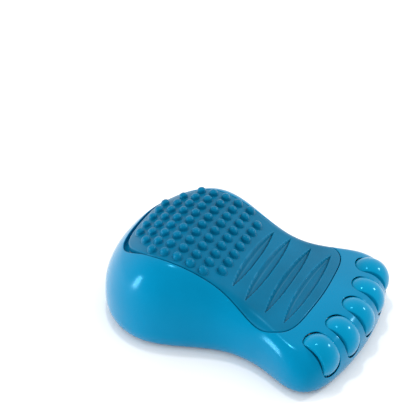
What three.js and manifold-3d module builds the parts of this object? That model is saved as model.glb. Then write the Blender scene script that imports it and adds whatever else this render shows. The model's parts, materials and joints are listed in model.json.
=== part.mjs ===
// Foot massage roller: a foot-shaped, hollow two-part housing with a lift-off massage pad and
// five ball rollers on steel axles along the toe edge.
// Millimetres. +X points to the toes, +Y to the far side, +Z up. Z = 0 is the floor.
import * as THREE from 'three';
import { mergeVertices } from 'three/addons/utils/BufferGeometryUtils.js';
import Module from 'manifold-3d';

const wasm = await Module();
wasm.setup();

// ---------------------------------------------------------------- driving dimensions
// Half of the housing's plan outline, heel to toe, as B-spline control points [x, half width].
const PLAN = [
  [-86, 0], [-81.5, 29], [-64.5, 51], [-39.5, 60.5], [-12.5, 51], [11, 44],
  [35.5, 49.5], [58, 63], [73, 57], [80.5, 34], [84.5, 0],
];
// Half of the massage pad's plan outline, in the same way.
const PAD_PLAN = [
  [-67, 0], [-67.5, 24], [-56, 33.5], [-39.5, 40], [-15, 38], [3.5, 36],
  [19.5, 40.5], [38, 48], [49.5, 40], [51.5, 20], [53, 0],
];
// Height of the deck and radius of the shoulder along X, as B-spline control values.
const DECK = { from: -100, step: 20, values: [34, 41.5, 48, 54.5, 52, 43.5, 33.5, 30, 27.5, 25.5, 24.5] };
const SHOULDER = { from: -120, step: 40, values: [26, 26, 22, 12.5, 12.5, 16, 16] };
const CROWN = 3;              // the deck is this much higher on the centre line
const CROWN_HALF = 50;        // half width over which the crown falls away

const RIM_Z = 1;              // housing rim above the floor
const BELT_Z = 11;            // height of the widest line of the wall
const TUCK = 6;               // how far the wall tucks in under the belt
const SHOULDER_POWER = 0.85;  // below 1 gives a squarer shoulder
const WALL = 2.6;
const GAP = 0.4;              // fitting gap between neighbouring pieces

const PAD_THICK = 4;
const PAD_REST = 0.5;         // pad's underside to the tray floor
const TRAY_WALL = 2.2;        // tray floor under the pad
const LIFT_GAP = 2.8;         // crescent gap at the heel end of the pad, to lift it by
const PEG_R = 2.2;
const PEG_LONG = 5;
const PEGS = [[-46, 0], [-30, 24], [-30, -24], [4, 0], [30, 30], [30, -30]];

const NUB_PITCH = 8.4;
const NUB_ROWS = 8;
const NUB_FIRST_X = -60.6;
const NUB_COLUMNS = 4;        // columns on each side of the centre line
const NUB_R = 2.9;
const NUB_HIGH = 3.4;
const NUB_MARGIN = 3.6;       // nub centre to the pad's edge, at least
// Grooves: place along X, half length across the pad, width.
const GROOVES = [[7, 30, 5.6], [16.8, 34, 6.4], [30, 35, 6.6], [42.5, 36.5, 8.2]];
const GROOVE_DEEP = 2.2;

const ROLLERS = 5;
const ROLLER_R = 13;
const ROLLER_HALF = 7;        // half width over the flat ends
const ROLLER_BORE_R = 1.75;
const ROLLER_Z = 18;          // axle height
const ARC_R = 140;            // the rollers stand on this arc
const ARC_X = -68.2;          // centre of the arc
const ARC_STEP = 8.4;         // degrees from roller to roller
const SLOT_GAP = 0.8;
const AXLE_R = 1.5;
const AXLE_HALF = 9.2;

const COMB_REAR = 118.5;      // arc radii of the roller cradle and its keeper
const COMB_BAR = 125.6;
const COMB_FRONT = 144;
const COMB_TOP = 21.6;
const COMB_FLOOR = 3.8;
const COMB_END = 21.1;        // degrees

const COVER_TOP = 3.4;
const POST_R = 4.2;
const SCREW_PADS = [[-60, 22], [-60, -22], [-8, 31], [-8, -31], [34, 37], [34, -37]];
const CRADLE_SCREWS = [6.3, -6.3];     // degrees along the arc
const KEEPER_SCREWS = [12.6, 0, -12.6];
const COMB_SCREW_R = 122;
const FEET = [[-50, 38], [-50, -38], [60, 40], [60, -40]];
const FOOT_R = 6.5;

// ---------------------------------------------------------------- colours
const SHELL_BLUE = { color: 0x0a8fd0, roughness: 0.18, metalness: 0 };
const PAD_BLUE = { color: 0x0a6fa8, roughness: 0.4, metalness: 0 };
const ROLLER_BLUE = { color: 0x0c97d8, roughness: 0.15, metalness: 0 };
const COVER_BLUE = { color: 0x0a7db8, roughness: 0.45, metalness: 0 };
const INNER_PLASTIC = { color: 0xdfe3e6, roughness: 0.5, metalness: 0 };
const STEEL = { color: 0xb8bcc0, roughness: 0.3, metalness: 1 };
const RUBBER = { color: 0x2a2c2e, roughness: 0.8, metalness: 0 };

// ---------------------------------------------------------------- curves
function bspline(control, u) {
  const v = 1 - u;
  const weights = [v ** 3, 3 * u ** 3 - 6 * u ** 2 + 4, -3 * u ** 3 + 3 * u ** 2 + 3 * u + 1, u ** 3];
  return weights.reduce((sum, weight, i) => sum + weight * control[i], 0) / 6;
}

function along(table, x) {
  const place = (x - table.from) / table.step;
  const cell = Math.min(Math.max(Math.floor(place), 1), table.values.length - 3);
  return bspline(table.values.slice(cell - 1, cell + 3), place - cell);
}

// Closed plan curve from its half outline, counter-clockwise from the heel.
function closedPlan(half, count) {
  const near = half.map(([x, y]) => [x, -y]);
  const far = half.slice(1, -1).reverse();
  const ring = [...near, ...far];
  const at = (i, axis) => ring[(i + ring.length) % ring.length][axis];
  const points = [];
  for (let k = 0; k < count; k += 1) {
    const place = (k / count) * ring.length;
    const i = Math.floor(place);
    const coordinate = (axis) => bspline([-1, 0, 1, 2].map((d) => at(i + d, axis)), place - i);
    points.push(new THREE.Vector2(coordinate(0), coordinate(1)));
  }
  return points;
}

// Moves a closed plan curve square to itself, inwards, by a small distance that depends on the place.
function inset(points, distance) {
  return points.map((point, k) => {
    const next = points[(k + 1) % points.length];
    const last = points[(k + points.length - 1) % points.length];
    const tangent = next.clone().sub(last).normalize();
    const d = distance(point);
    return new THREE.Vector2(point.x - tangent.y * d, point.y + tangent.x * d);
  });
}

// Point on the housing's spine that a point of its outline is drawn towards.
const spine = (x) => new THREE.Vector2(Math.min(Math.max(x * 0.62, -46), 50), 0);

// Moves a closed plan curve towards the spine by a distance that depends on the place.
function drawn(points, distance) {
  return points.map((point) => {
    const way = spine(point.x).sub(point).normalize();
    return point.clone().addScaledVector(way, distance(point));
  });
}

const deckTop = (x, y) => along(DECK, x) + CROWN * (1 - (y / CROWN_HALF) ** 2);

// The lines along which the outline is drawn to the spine.
const DRAW_LINES = closedPlan(PLAN, 160).map((start) => (
  { start, way: spine(start.x).sub(start).normalize() }
));

// Height of the housing's outer form over any place inside the shoulder.
function formTop(x, y) {
  const here = new THREE.Vector2(x, y);
  let nearest = { offset: Infinity };
  for (const { start, way } of DRAW_LINES) {
    const from = here.clone().sub(start);
    const offset = Math.abs(from.cross(way));
    if (from.dot(way) > 0 && offset < nearest.offset) nearest = { offset, start, depth: from.dot(way) };
  }
  const left = Math.max(1 - nearest.depth / along(SHOULDER, nearest.start.x), 0);
  const rise = Math.sqrt(1 - left ** (2 / SHOULDER_POWER)) ** SHOULDER_POWER;
  return BELT_Z + (deckTop(x, y) - BELT_Z) * rise;
}

// ---------------------------------------------------------------- solids
function geometryOf(positions, indices) {
  const geometry = new THREE.BufferGeometry();
  geometry.setAttribute('position', new THREE.Float32BufferAttribute(positions, 3));
  geometry.setIndex(indices);
  return geometry;
}

function solid(geometry) {
  const bare = new THREE.BufferGeometry();
  bare.setAttribute('position', geometry.getAttribute('position'));
  if (geometry.index) bare.setIndex(geometry.index);
  const welded = mergeVertices(bare, 1e-4);
  const triangles = [];
  const index = welded.index.array;
  for (let i = 0; i < index.length; i += 3) {
    const [a, b, c] = [index[i], index[i + 1], index[i + 2]];
    if (a !== b && b !== c && c !== a) triangles.push(a, b, c);
  }
  return new wasm.Manifold(new wasm.Mesh({
    numProp: 3,
    vertProperties: new Float32Array(welded.getAttribute('position').array),
    triVerts: new Uint32Array(triangles),
  }));
}

// Closed solid through a stack of plan rings, lowest first; each end is closed in plan.
function loft(rings) {
  const count = rings[0].length;
  const positions = rings.flat().flatMap((p) => [p.x, p.y, p.z]);
  const indices = [];
  for (let r = 0; r < rings.length - 1; r += 1) {
    for (let k = 0; k < count; k += 1) {
      const a = r * count + k;
      const b = r * count + ((k + 1) % count);
      indices.push(a, b, b + count, a, b + count, a + count);
    }
  }
  const flat = (ring) => ring.map((p) => new THREE.Vector2(p.x, p.y));
  const top = (rings.length - 1) * count;
  for (const [a, b, c] of THREE.ShapeUtils.triangulateShape(flat(rings[rings.length - 1]), [])) {
    indices.push(top + a, top + b, top + c);
  }
  for (const [a, b, c] of THREE.ShapeUtils.triangulateShape(flat(rings[0]), [])) {
    indices.push(a, c, b);
  }
  return solid(geometryOf(positions, indices));
}

const lift = (points, height) => points.map((p) => new THREE.Vector3(p.x, p.y, height(p.x, p.y)));

// Upright slab between two height functions over a plan outline.
function slab(outline, bottom, top, steps = [0, 0.12, 0.4, 0.72, 0.94]) {
  const shrink = (f) => outline.map((p) => {
    const middle = Math.min(Math.max(p.x * 0.6, -42), 34);
    return new THREE.Vector2(p.x + (middle - p.x) * f, p.y * (1 - f));
  });
  const under = steps.map((f) => lift(shrink(f), bottom)).reverse();
  const over = steps.map((f) => lift(shrink(f), top));
  return loft([...under, ...over]);
}

function block(outline, bottom, top) {
  return loft([lift(outline, () => bottom), lift(outline, () => top)]);
}

// Solid of revolution about Z from a profile of [radius, height].
function turned(profile, segments) {
  const points = profile.map(([radius, height]) => new THREE.Vector2(radius, height));
  return solid(new THREE.LatheGeometry(points, segments).rotateX(Math.PI / 2));
}

const bar = (radius, from, to, segments) => (
  turned([[0, from], [radius, from], [radius, to], [0, to]], segments)
);

function union(parts) {
  return parts.reduce((whole, part) => whole.add(part));
}

function cutAll(body, tools) {
  return tools.reduce((whole, tool) => whole.subtract(tool), body);
}

function node(name, body, finish) {
  const mesh = body.getMesh();
  const geometry = geometryOf(Array.from(mesh.vertProperties), Array.from(mesh.triVerts));
  geometry.computeVertexNormals();
  const out = new THREE.Mesh(geometry, new THREE.MeshStandardMaterial(finish));
  out.name = name;
  return out;
}

// ---------------------------------------------------------------- places
const degrees = (value) => (value * Math.PI) / 180;
const rollerAngle = (i) => (i - (ROLLERS - 1) / 2) * ARC_STEP;

function onArc(radius, angle) {
  return [ARC_X + radius * Math.cos(degrees(angle)), radius * Math.sin(degrees(angle))];
}

// Stands a solid made about Z on its side, at roller i, with its axis along the axle.
function atRoller(body, i) {
  const [x, y] = onArc(ARC_R, rollerAngle(i));
  return body.rotate([-90, 0, rollerAngle(i)]).translate([x, y, ROLLER_Z]);
}

// ---------------------------------------------------------------- housing
// The housing's form: rim, tucked wall, belt, shoulder and deck, all moved in by one thickness.
function housingForm(thickness, count, shoulderSteps) {
  const outline = inset(closedPlan(PLAN, count), () => thickness);
  const radius = (p) => along(SHOULDER, p.x) - thickness * 0.6;
  const deck = (x, y) => deckTop(x, y) - thickness;
  const rings = [];
  for (const turn of [0, 35, 65, 90]) {
    const ring = drawn(outline, () => TUCK * (1 - Math.sin(degrees(turn))));
    const z = RIM_Z + (BELT_Z - RIM_Z) * (1 - Math.cos(degrees(turn)));
    rings.push(lift(ring, () => z));
  }
  for (let k = 1; k <= shoulderSteps; k += 1) {
    const turn = degrees((90 * k) / shoulderSteps);
    const away = 1 - Math.max(Math.cos(turn), 0) ** SHOULDER_POWER;
    const rise = Math.sin(turn) ** SHOULDER_POWER;
    const ring = drawn(outline, (p) => radius(p) * away);
    rings.push(lift(ring, (x, y) => BELT_Z + (deck(x, y) - BELT_Z) * rise));
  }
  const edge = rings[rings.length - 1];
  for (const f of [0.3, 0.6, 0.88]) {
    rings.push(edge.map((p, k) => {
      const x = p.x + (spine(outline[k].x).x - p.x) * f;
      const y = p.y * (1 - f);
      return new THREE.Vector3(x, y, deck(x, y));
    }));
  }
  return loft(rings);
}

// Plan of the housing at its rim, moved in by one thickness.
const rimPlan = (thickness, count) => drawn(inset(closedPlan(PLAN, count), () => thickness), () => TUCK);

// The pad's well is the pad's own outline and its gap, wider round the heel end.
function wellOutline(extra) {
  const reach = (p) => Math.min(Math.max((-44 - p.x) / 20, 0), 1);
  const crescent = (p) => LIFT_GAP * reach(p) ** 2 * (3 - 2 * reach(p));
  return inset(closedPlan(PAD_PLAN, 40), (p) => -(GAP + extra + crescent(p)));
}

function tray() {
  const floor = PAD_THICK + PAD_REST + TRAY_WALL;
  const over = (x, y) => formTop(x, y) + 1;
  return slab(wellOutline(TRAY_WALL), (x, y) => formTop(x, y) - floor, over);
}

function well() {
  const floor = PAD_THICK + PAD_REST;
  return slab(wellOutline(0), (x, y) => formTop(x, y) - floor, (x, y) => formTop(x, y) + 5);
}

// Screw posts reach up into the tray's floor, but not through it.
function screwPosts() {
  return SCREW_PADS.map(([x, y]) => {
    const rim = [[POST_R, 0], [-POST_R, 0], [0, POST_R], [0, -POST_R]];
    const low = Math.min(...rim.map(([dx, dy]) => formTop(x + dx, y + dy)));
    return bar(POST_R, 5.4, low - PAD_THICK - PAD_REST - 0.6, 12).translate([x, y, 0]);
  });
}

function rollerForm(grow, segments, arcSteps) {
  const radius = ROLLER_R + grow;
  const half = ROLLER_HALF + grow;
  const profile = [[0, -half]];
  const end = Math.asin(half / radius);
  for (let k = 0; k <= arcSteps; k += 1) {
    const turn = -end + (2 * end * k) / arcSteps;
    profile.push([radius * Math.cos(turn), radius * Math.sin(turn)]);
  }
  profile.push([0, half]);
  return turned(profile, segments);
}

function topShell() {
  const openBelow = block(rimPlan(WALL, 40), RIM_Z - 1, RIM_Z + 0.2);
  const cavity = housingForm(WALL, 40, 3).add(openBelow).subtract(tray());
  const walls = housingForm(0, 56, 5).subtract(cavity).subtract(well());
  const slots = [];
  for (let i = 0; i < ROLLERS; i += 1) slots.push(atRoller(rollerForm(SLOT_GAP, 18, 5), i));
  const bores = SCREW_PADS.map(([x, y]) => bar(1.5, 4, 14, 8).translate([x, y, 0]));
  const pegHoles = PEGS.map(([x, y]) => bar(PEG_R + 0.3, 10, 60, 8).translate([x, y, 0]));
  return cutAll(union([walls, ...screwPosts()]), [...slots, ...bores, ...pegHoles]);
}

// ---------------------------------------------------------------- massage pad
function nub(x, y) {
  const profile = [[0, -1.4], [NUB_R, -1.4], [NUB_R * 0.86, NUB_HIGH * 0.55], [0, NUB_HIGH]];
  return turned(profile, 5).translate([x, y, formTop(x, y)]);
}

function insideBy(outline, x, y) {
  const here = new THREE.Vector2(x, y);
  return Math.min(...outline.map((p) => p.distanceTo(here)));
}

function nubs() {
  const outline = closedPlan(PAD_PLAN, 96);
  const out = [];
  for (let row = 0; row < NUB_ROWS; row += 1) {
    const x = NUB_FIRST_X + row * NUB_PITCH;
    const reach = row === NUB_ROWS - 1 ? NUB_COLUMNS - 1 : NUB_COLUMNS;
    for (let column = -reach; column <= reach; column += 1) {
      const y = column * NUB_PITCH;
      const width = Math.max(...outline.filter((p) => Math.abs(p.x - x) < 3).map((p) => p.y));
      if (Math.abs(y) < width && insideBy(outline, x, y) > NUB_MARGIN) out.push(nub(x, y));
    }
  }
  return out;
}

// Leaf-shaped groove across the pad, pointed at both ends.
function groove([x, halfLength, width]) {
  const stops = [-1, -0.8, -0.4, 0, 0.4, 0.8];
  const side = (sign) => stops.map((t) => {
    const lens = (width / 2) * (1 - Math.abs(t) ** 2.4);
    return new THREE.Vector2(x + sign * lens, sign * t * halfLength);
  });
  const outline = [...side(1), ...side(-1)];
  const floor = outline.map((p) => new THREE.Vector2(x + (p.x - x) * 0.6, p.y * 0.94));
  return loft([
    lift(floor, (px, py) => formTop(px, py) - GROOVE_DEEP),
    lift(outline, (px, py) => formTop(px, py) + 2),
  ]);
}

function massagePad() {
  const outline = closedPlan(PAD_PLAN, 40);
  const plate = slab(outline, (x, y) => formTop(x, y) - PAD_THICK, formTop);
  const pegs = PEGS.map(([x, y]) => {
    const under = formTop(x, y) - PAD_THICK + 0.6;
    return bar(PEG_R, under - PEG_LONG, under, 8).translate([x, y, 0]);
  });
  return union([cutAll(plate, GROOVES.map(groove)), ...nubs(), ...pegs]);
}

// ---------------------------------------------------------------- rollers and axles
function toeRoller(i) {
  const bore = bar(ROLLER_BORE_R, -20, 20, 12);
  return atRoller(rollerForm(0, 18, 5).subtract(bore), i);
}

function rollerAxle(i) {
  return atRoller(bar(AXLE_R, -AXLE_HALF, AXLE_HALF, 10), i);
}

// Arc-shaped comb with a tooth on each side of every roller.
function comb(front, bottom, top) {
  const outline = [];
  for (let k = -7; k <= 7; k += 1) outline.push(new THREE.Vector2(...onArc(front, (COMB_END * k) / 7)));
  for (let k = 7; k >= -7; k -= 1) outline.push(new THREE.Vector2(...onArc(COMB_REAR, (COMB_END * k) / 7)));
  const half = ROLLER_HALF + 0.5;
  const tools = [];
  for (let i = 0; i < ROLLERS; i += 1) {
    const bay = [[COMB_BAR, -half], [170, -half], [170, half], [COMB_BAR, half]];
    const turn = degrees(rollerAngle(i));
    tools.push(block(bay.map(([x, y]) => new THREE.Vector2(
      ARC_X + x * Math.cos(turn) - y * Math.sin(turn),
      x * Math.sin(turn) + y * Math.cos(turn),
    )), 0, 40));
    tools.push(atRoller(bar(AXLE_R + 0.15, -AXLE_HALF - 0.2, AXLE_HALF + 0.2, 12), i));
  }
  return cutAll(block(outline, bottom, top), tools);
}

function onComb(body, angle) {
  const [x, y] = onArc(COMB_SCREW_R, angle);
  return body.translate([x, y, 0]);
}

function rollerCradle() {
  const bores = [
    ...CRADLE_SCREWS.map((angle) => onComb(bar(1.5, 0, 13, 8), angle)),
    ...KEEPER_SCREWS.map((angle) => onComb(bar(1.5, 8, 30, 8), angle)),
  ];
  return cutAll(comb(COMB_FRONT, COMB_FLOOR, ROLLER_Z - 0.15), bores);
}

function axleKeeper() {
  const bores = KEEPER_SCREWS.flatMap((angle) => [
    onComb(bar(1.6, 0, 30, 8), angle),
    onComb(bar(2.9, COMB_TOP - 1.7, 30, 12), angle),
  ]);
  return cutAll(comb(COMB_FRONT - 3, ROLLER_Z + 0.15, COMB_TOP), bores);
}

// ---------------------------------------------------------------- base cover, screws, feet
function baseCover() {
  const outline = rimPlan(WALL + GAP, 40);
  const plate = block(outline, RIM_Z, COVER_TOP);
  const places = [...SCREW_PADS, ...CRADLE_SCREWS.map((angle) => onArc(COMB_SCREW_R, angle))];
  const pads = SCREW_PADS.map(([x, y]) => bar(5.6, RIM_Z + 1, 5.1, 16).translate([x, y, 0]));
  const rib = block(drawn(outline, () => 2), COVER_TOP - 1, COVER_TOP + 1.7)
    .subtract(block(drawn(outline, () => 3.6), COVER_TOP - 2, COVER_TOP + 2));
  const toes = bar(COMB_FRONT + 40, 0, 20, 48).subtract(bar(COMB_REAR - 4, 0, 20, 48));
  const holes = places.flatMap(([x, y]) => [
    bar(1.6, 0, 8, 8).translate([x, y, 0]),
    bar(3.1, 0, RIM_Z + 1.4, 12).translate([x, y, 0]),
  ]);
  const sockets = FEET.map(([x, y]) => bar(FOOT_R + 0.3, 0, 2.3, 16).translate([x, y, 0]));
  const ribs = rib.subtract(toes.translate([ARC_X, 0, 0]));
  return cutAll(union([plate, ribs, ...pads]), [...holes, ...sockets]);
}

// Pan-head screw about Z, head down, its head's face at the given height.
function screw(face, length) {
  const profile = [[0, 0], [2.2, 0], [2.7, 0.5], [2.7, 1.2], [1.25, 1.2], [1.25, length - 1], [0, length]];
  const blank = turned(profile, 8);
  const bit = [[-1.6, -0.35], [1.6, -0.35], [1.6, 0.35], [-1.6, 0.35]].map(([x, y]) => new THREE.Vector2(x, y));
  const cross = block(bit, -1, 0.6);
  return cutAll(blank, [cross, cross.rotate([0, 0, 90])]).translate([0, 0, face]);
}

const baseScrew = ([x, y]) => screw(RIM_Z + 0.15, 11).translate([x, y, 0]);
const cradleScrew = (angle) => onComb(screw(RIM_Z + 0.15, 9), angle);
const keeperScrew = (angle) => onComb(screw(0, 11).rotate([180, 0, 0]).translate([0, 0, COMB_TOP - 0.4]), angle);

function rubberFoot([x, y]) {
  const profile = [[0, 0], [FOOT_R - 0.6, 0], [FOOT_R, 0.5], [FOOT_R, 2.2], [0, 2.2]];
  return turned(profile, 16).translate([x, y, 0]);
}

// ---------------------------------------------------------------- assembly
function series(prefix, places, make, finish) {
  return places.map((place, i) => node(`${prefix}_${i + 1}`, make(place), finish));
}

const five = Array.from({ length: ROLLERS }, (_, i) => i);
const object = new THREE.Group();
object.name = 'foot_massage_roller';
object.add(
  node('top_shell', topShell(), SHELL_BLUE),
  node('base_cover', baseCover(), COVER_BLUE),
  node('massage_pad', massagePad(), PAD_BLUE),
  node('roller_cradle', rollerCradle(), INNER_PLASTIC),
  node('axle_keeper', axleKeeper(), INNER_PLASTIC),
  ...series('toe_roller', five, toeRoller, ROLLER_BLUE),
  ...series('roller_axle', five, rollerAxle, STEEL),
  ...series('base_screw', SCREW_PADS, baseScrew, STEEL),
  ...series('cradle_screw', CRADLE_SCREWS, cradleScrew, STEEL),
  ...series('keeper_screw', KEEPER_SCREWS, keeperScrew, STEEL),
  ...series('rubber_foot', FEET, rubberFoot, RUBBER),
);

export default object;
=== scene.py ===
# Looks of the foot massage roller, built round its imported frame.
# Sizes are in millimetres here and in metres in Blender. +X points to the toes, +Y to the far side, +Z up.
import json
import math

import bmesh
import bpy
import numpy as np
from mathutils import Matrix, Vector
from mathutils.geometry import delaunay_2d_cdt


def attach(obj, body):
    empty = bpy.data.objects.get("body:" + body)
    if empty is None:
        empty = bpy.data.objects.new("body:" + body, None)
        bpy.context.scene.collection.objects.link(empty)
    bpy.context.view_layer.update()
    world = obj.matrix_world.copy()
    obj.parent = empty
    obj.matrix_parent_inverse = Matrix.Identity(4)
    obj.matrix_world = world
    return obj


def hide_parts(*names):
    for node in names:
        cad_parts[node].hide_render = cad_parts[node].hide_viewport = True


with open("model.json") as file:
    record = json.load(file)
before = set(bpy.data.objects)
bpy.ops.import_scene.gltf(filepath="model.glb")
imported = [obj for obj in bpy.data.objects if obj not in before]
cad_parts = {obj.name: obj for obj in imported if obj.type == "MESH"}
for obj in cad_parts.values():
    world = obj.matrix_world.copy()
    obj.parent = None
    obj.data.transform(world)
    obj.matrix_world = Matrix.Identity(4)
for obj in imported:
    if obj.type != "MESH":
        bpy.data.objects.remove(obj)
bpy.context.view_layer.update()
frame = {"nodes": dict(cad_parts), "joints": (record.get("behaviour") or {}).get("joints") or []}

# ---------------------------------------------------------------- the housing's form, as the frame has it
PLAN = [
    (-86, 0), (-81.5, 29), (-64.5, 51), (-39.5, 60.5), (-12.5, 51), (11, 44),
    (35.5, 49.5), (58, 63), (73, 57), (80.5, 34), (84.5, 0),
]
PAD_PLAN = [
    (-67, 0), (-67.5, 24), (-56, 33.5), (-39.5, 40), (-15, 38), (3.5, 36),
    (19.5, 40.5), (38, 48), (49.5, 40), (51.5, 20), (53, 0),
]
# Height of the deck and radius of the shoulder along X: first place, step, control values.
DECK = (-100, 20, [34, 41.5, 48, 54.5, 52, 43.5, 33.5, 30, 27.5, 25.5, 24.5])
SHOULDER = (-120, 40, [26, 26, 22, 12.5, 12.5, 16, 16])
CROWN, CROWN_HALF = 3, 50
RIM_Z, BELT_Z, TUCK = 1, 11, 6
POWER = 0.85                 # below 1 gives a squarer shoulder
WALL, GAP = 2.6, 0.4
DECK_STEP = 10               # depth over the deck for one unit of the skin's second coordinate
SPINE_LONG, SPINE_EASE = 48, 75

PAD_THICK, PAD_REST, TRAY_WALL, LIFT_GAP = 4, 0.5, 2.2, 2.8
PEG_R, PEG_LONG, PEG_PLAY = 2.2, 5, 0.3
PEGS = [(-46, 0), (-30, 24), (-30, -24), (4, 0), (30, 30), (30, -30)]
NUB_PITCH, NUB_ROWS, NUB_FIRST_X, NUB_COLUMNS, NUB_MARGIN = 8.4, 8, -60.6, 4, 3.6
# Grooves: place along X, half length across the pad, width.
GROOVES = [(7, 30, 5.6), (16.8, 34, 6.4), (30, 35, 6.6), (42.5, 36.5, 8.2)]
GROOVE_DEEP = 2.7

ROLLER_R, ROLLER_HALF, SLOT_GAP = 13, 7, 0.8
AXLE_R, AXLE_HALF = 1.5, 9.2
COVER_TOP, SCREW_FACE = 3.4, 1.15
SCREW_PADS = [(-60, 22), (-60, -22), (-8, 31), (-8, -31), (34, 37), (34, -37)]
CRADLE_SCREWS, KEEPER_SCREWS, COMB_SCREW_R, COMB_TOP = (6.3, -6.3), (12.6, 0, -12.6), 122, 21.6
ARC_X = -68.2
FEET = [(-50, 38), (-50, -38), (60, 40), (60, -40)]
FOOT_R, FOOT_HIGH, SOCKET_PLAY, SOCKET_TOP = 6.5, 2.2, 0.15, 2.3
COUNTERBORE_R, COUNTERBORE_DEEP, SCREW_HOLE_R = 3.1, 1.4, 1.6
BOSS_R, BOSS_TOP = 4.7, 5.1
POST_R, POST_LOW, POST_HOLE_R, POST_HOLE_TOP = 4.2, 5.4, 1.5, 14
THREAD_R, THREAD_DEEP, THREAD_PITCH = 1.24, 0.11, 1.1
CROSS_WIDE, CROSS_LONG, CROSS_DEEP = 0.34, 1.5, 0.7      # half width, half length and depth of the recess

# ---------------------------------------------------------------- fineness of the meshes
COLUMNS = 480                # round the housing
OUTER_ROWS, INNER_ROWS = 84, 44
LIP_R, SLOT_EDGE_R, PAD_EDGE_R, COVER_EDGE_R = 0.8, 0.6, 0.6, 0.25
SLOT_POINTS = 176
NUB_SIDES, SCREW_SIDES = 32, 40
PAD_CELLS = 18               # grid cells of the pad's top from one nub to the next
SHEET_CLEAR = 0.3            # least distance of a sheet's grid from its loops, in cells
MM = 0.001


# ---------------------------------------------------------------- curves
def bspline(control, u):
    a, b, c, d = control
    v = 1 - u
    return (v**3 * a + (3 * u**3 - 6 * u**2 + 4) * b + (-3 * u**3 + 3 * u**2 + 3 * u + 1) * c + u**3 * d) / 6


def along(table, x):
    start, step, values = table
    values = np.array(values, float)
    place = (np.asarray(x, float) - start) / step
    cell = np.clip(np.floor(place), 1, len(values) - 3).astype(int)
    return bspline([values[cell + k] for k in (-1, 0, 1, 2)], place - cell)


def ring_of(half):
    near = [(x, -y) for x, y in half]
    far = [(x, y) for x, y in half[-2:0:-1]]
    return np.array(near + far, float)


def on_ring(ring, t):
    t = np.asarray(t, float)
    cell = np.floor(t).astype(int)
    return bspline([ring[(cell + k) % len(ring)] for k in (-1, 0, 1, 2)], (t - cell)[..., None])


def even_places(ring, count):
    """Places on a closed curve at even steps of length, the same on both sides of the centre line."""
    fine = np.linspace(0, len(ring) / 2, 4001)
    steps = np.linalg.norm(np.diff(on_ring(ring, fine), axis=0), axis=1)
    run = np.concatenate([[0], np.cumsum(steps)])
    near = np.interp(np.linspace(0, run[-1], count // 2 + 1), run, fine)
    return np.concatenate([near, len(ring) - near[-2:0:-1]])


HOUSING_RING, PAD_RING = ring_of(PLAN), ring_of(PAD_PLAN)


def pad_curve(outwards, count=COLUMNS):
    """The pad's outline, moved outwards by a distance that may depend on the place."""
    t = even_places(PAD_RING, count)
    points = on_ring(PAD_RING, t)
    tangent = on_ring(PAD_RING, t + 0.01) - on_ring(PAD_RING, t - 0.01)
    tangent /= np.linalg.norm(tangent, axis=1)[:, None]
    distance = outwards(points) if callable(outwards) else outwards
    return points + np.stack([tangent[:, 1], -tangent[:, 0]], -1) * np.reshape(distance, (-1, 1))


def well_curve(extra):
    """The pad's well: the pad's outline and its gap, wider round the heel end to lift the pad by."""
    def outwards(points):
        reach = np.clip((-44 - points[:, 0]) / 20, 0, 1)
        return GAP + extra + LIFT_GAP * reach**2 * (3 - 2 * reach)
    return pad_curve(outwards, 2 * COLUMNS)


# ---------------------------------------------------------------- the housing's outer form
def draw_lines(t):
    """Start, direction and length of the lines along which the outline is drawn to the spine."""
    start = on_ring(HOUSING_RING, t)
    x = SPINE_LONG * np.tanh(start[..., 0] / SPINE_EASE)
    way = np.stack([x, np.zeros_like(x)], -1) - start
    length = np.linalg.norm(way, axis=-1)
    return start, way / length[..., None], length


def deck(plan):
    return along(DECK, plan[..., 0]) + CROWN * (1 - (plan[..., 1] / CROWN_HALF) ** 2)


def skin(t, w, wall=0.0):
    """Point of the housing's skin: w is -1 at the rim, 0 at the belt, 1 where the deck begins, then on."""
    start, way, length = draw_lines(t)
    turn, tuck = np.clip(w, 0, 1) * np.pi / 2, np.clip(w, -1, 0) * np.pi / 2
    depth = along(SHOULDER, start[..., 0]) * (1 - np.maximum(np.cos(turn), 0) ** POWER)
    depth = depth + TUCK * (1 - np.cos(tuck)) + np.maximum(w - 1, 0) * DECK_STEP + wall * np.cos(turn)
    plan = start + way * np.minimum(depth, length)[..., None]
    z = BELT_Z + (BELT_Z - RIM_Z) * np.sin(tuck) + (deck(plan) - BELT_Z) * np.sin(turn) ** POWER
    return np.concatenate([plan, (z - wall * np.sin(turn))[..., None]], -1)


def turn_at(depth, radius):
    """The skin's second coordinate at a depth along its draw line."""
    shoulder = np.arccos(np.clip(1 - depth / radius, 0, 1) ** (1 / POWER)) * 2 / np.pi
    return np.where(depth < radius, shoulder, 1 + (depth - radius) / DECK_STEP)


def sunk(t, depth, drop=0.0):
    """Point below the skin at a depth along its draw line."""
    point = skin(t, turn_at(depth, along(SHOULDER, draw_lines(t)[0][..., 0])))
    point[..., 2] -= drop
    return point


def depth_to(t, curve):
    """How far along each draw line a closed plan curve is crossed."""
    start, way, _ = draw_lines(t)
    away = curve[None] - start[:, None]
    side = way[:, None, 0] * away[..., 1] - way[:, None, 1] * away[..., 0]
    ahead = (away * way[:, None]).sum(-1)
    next_side, next_ahead = np.roll(side, -1, 1), np.roll(ahead, -1, 1)
    cut = (side * next_side <= 0) & (side != next_side) & (ahead > 0)
    share = side / np.where(cut, side - next_side, 1)
    return np.where(cut, ahead + (next_ahead - ahead) * share, np.inf).min(1)


LINE_T = np.linspace(0, len(HOUSING_RING), 961)
LINE_START, LINE_WAY, _ = draw_lines(LINE_T)


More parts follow.
